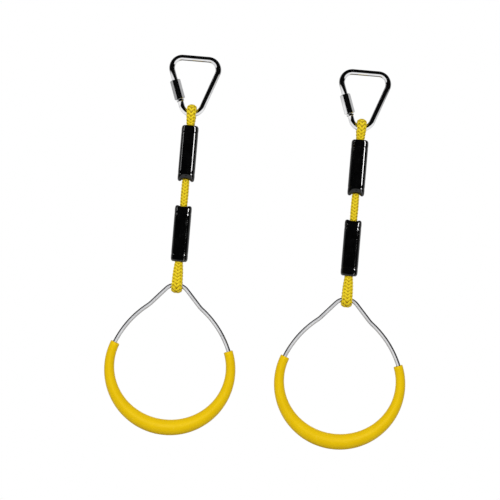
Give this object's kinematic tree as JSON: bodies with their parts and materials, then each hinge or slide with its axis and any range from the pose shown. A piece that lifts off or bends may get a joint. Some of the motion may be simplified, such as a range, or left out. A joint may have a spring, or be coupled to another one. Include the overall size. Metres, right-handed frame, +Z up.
{
  "type": "gymnastics rings",
  "caption": "Hanging gymnastics rings: moulded grips on bent steel wire, each on a braided rope below a screw-gate delta link.",
  "frame": {"origin": "underside of the left link's top bar, where the left set hangs", "axes": "+Z up, +X from the left set to the right set, both rings face -Y and +Y"},
  "size_m": [0.3677, 0.0256, 0.4635],
  "materials": {
    "link_steel": "polished",
    "ring_steel": "polished drawn wire",
    "ferrule": "as pressed",
    "rope": "braided, slightly glossy",
    "sleeve": "glossy",
    "grip": "satin"
  },
  "bodies": {
    "left_link_body": {"left_link": "link_steel"},
    "left_nut_body": {"left_link_nut": "link_steel"},
    "left_upper_splice": {"left_rope_upper": "rope", "left_ferrule_upper": "ferrule", "left_sleeve_upper": "sleeve"},
    "left_rope_run": {"left_rope_middle": "rope"},
    "left_lower_splice": {"left_rope_lower": "rope", "left_ferrule_lower": "ferrule", "left_sleeve_lower": "sleeve"},
    "left_ring": {"left_ring_wire": "ring_steel", "left_grip": "grip"},
    "right_link_body": {"right_link": "link_steel"},
    "right_nut_body": {"right_link_nut": "link_steel"},
    "right_upper_splice": {"right_rope_upper": "rope", "right_ferrule_upper": "ferrule", "right_sleeve_upper": "sleeve"},
    "right_rope_run": {"right_rope_middle": "rope"},
    "right_lower_splice": {"right_rope_lower": "rope", "right_ferrule_lower": "ferrule", "right_sleeve_lower": "sleeve"},
    "right_ring": {"right_ring_wire": "ring_steel", "right_grip": "grip"}
  },
  "joints": [
    {"name": "left_gate_slide", "type": "slide", "parent": "left_link_body", "child": "left_nut_body", "axis": [-0.3382, 0, 0.9411], "range_m": [0, 0.012]},
    {"name": "left_rope_swing", "type": "hinge", "parent": "left_link_body", "child": "left_upper_splice", "pos_m": [0, 0, -0.0641], "axis": [1, 0, 0], "range_deg": [-120, 120]},
    {"name": "left_rope_sway", "type": "hinge", "parent": "left_upper_splice", "child": "left_rope_run", "pos_m": [0, 0, -0.1531], "axis": [0, 1, 0], "range_deg": [-11, 38]},
    {"name": "left_rope_twist", "type": "hinge", "parent": "left_rope_run", "child": "left_lower_splice", "pos_m": [0, 0, -0.1699], "axis": [0, 0, 1], "range_deg": [-90, 90]},
    {"name": "left_ring_tilt", "type": "hinge", "parent": "left_lower_splice", "child": "left_ring", "pos_m": [0, 0, -0.2731], "axis": [1, 0, 0], "range_deg": [-120, 120]},
    {"name": "ring_spacing", "type": "slide", "parent": "left_link_body", "child": "right_link_body", "axis": [1, 0, 0], "range_m": [-0.03, 0.3]},
    {"name": "right_gate_slide", "type": "slide", "parent": "right_link_body", "child": "right_nut_body", "axis": [-0.3382, 0, 0.9411], "range_m": [0, 0.012]},
    {"name": "right_rope_swing", "type": "hinge", "parent": "right_link_body", "child": "right_upper_splice", "pos_m": [0.2077, 0, -0.0641], "axis": [1, 0, 0], "range_deg": [-120, 120]},
    {"name": "right_rope_sway", "type": "hinge", "parent": "right_upper_splice", "child": "right_rope_run", "pos_m": [0.2077, 0, -0.1531], "axis": [0, 1, 0], "range_deg": [-38, 11]},
    {"name": "right_rope_twist", "type": "hinge", "parent": "right_rope_run", "child": "right_lower_splice", "pos_m": [0.2077, 0, -0.1699], "axis": [0, 0, 1], "range_deg": [-90, 90]},
    {"name": "right_ring_tilt", "type": "hinge", "parent": "right_lower_splice", "child": "right_ring", "pos_m": [0.2077, 0, -0.2731], "axis": [1, 0, 0], "range_deg": [-120, 120]}
  ]
}
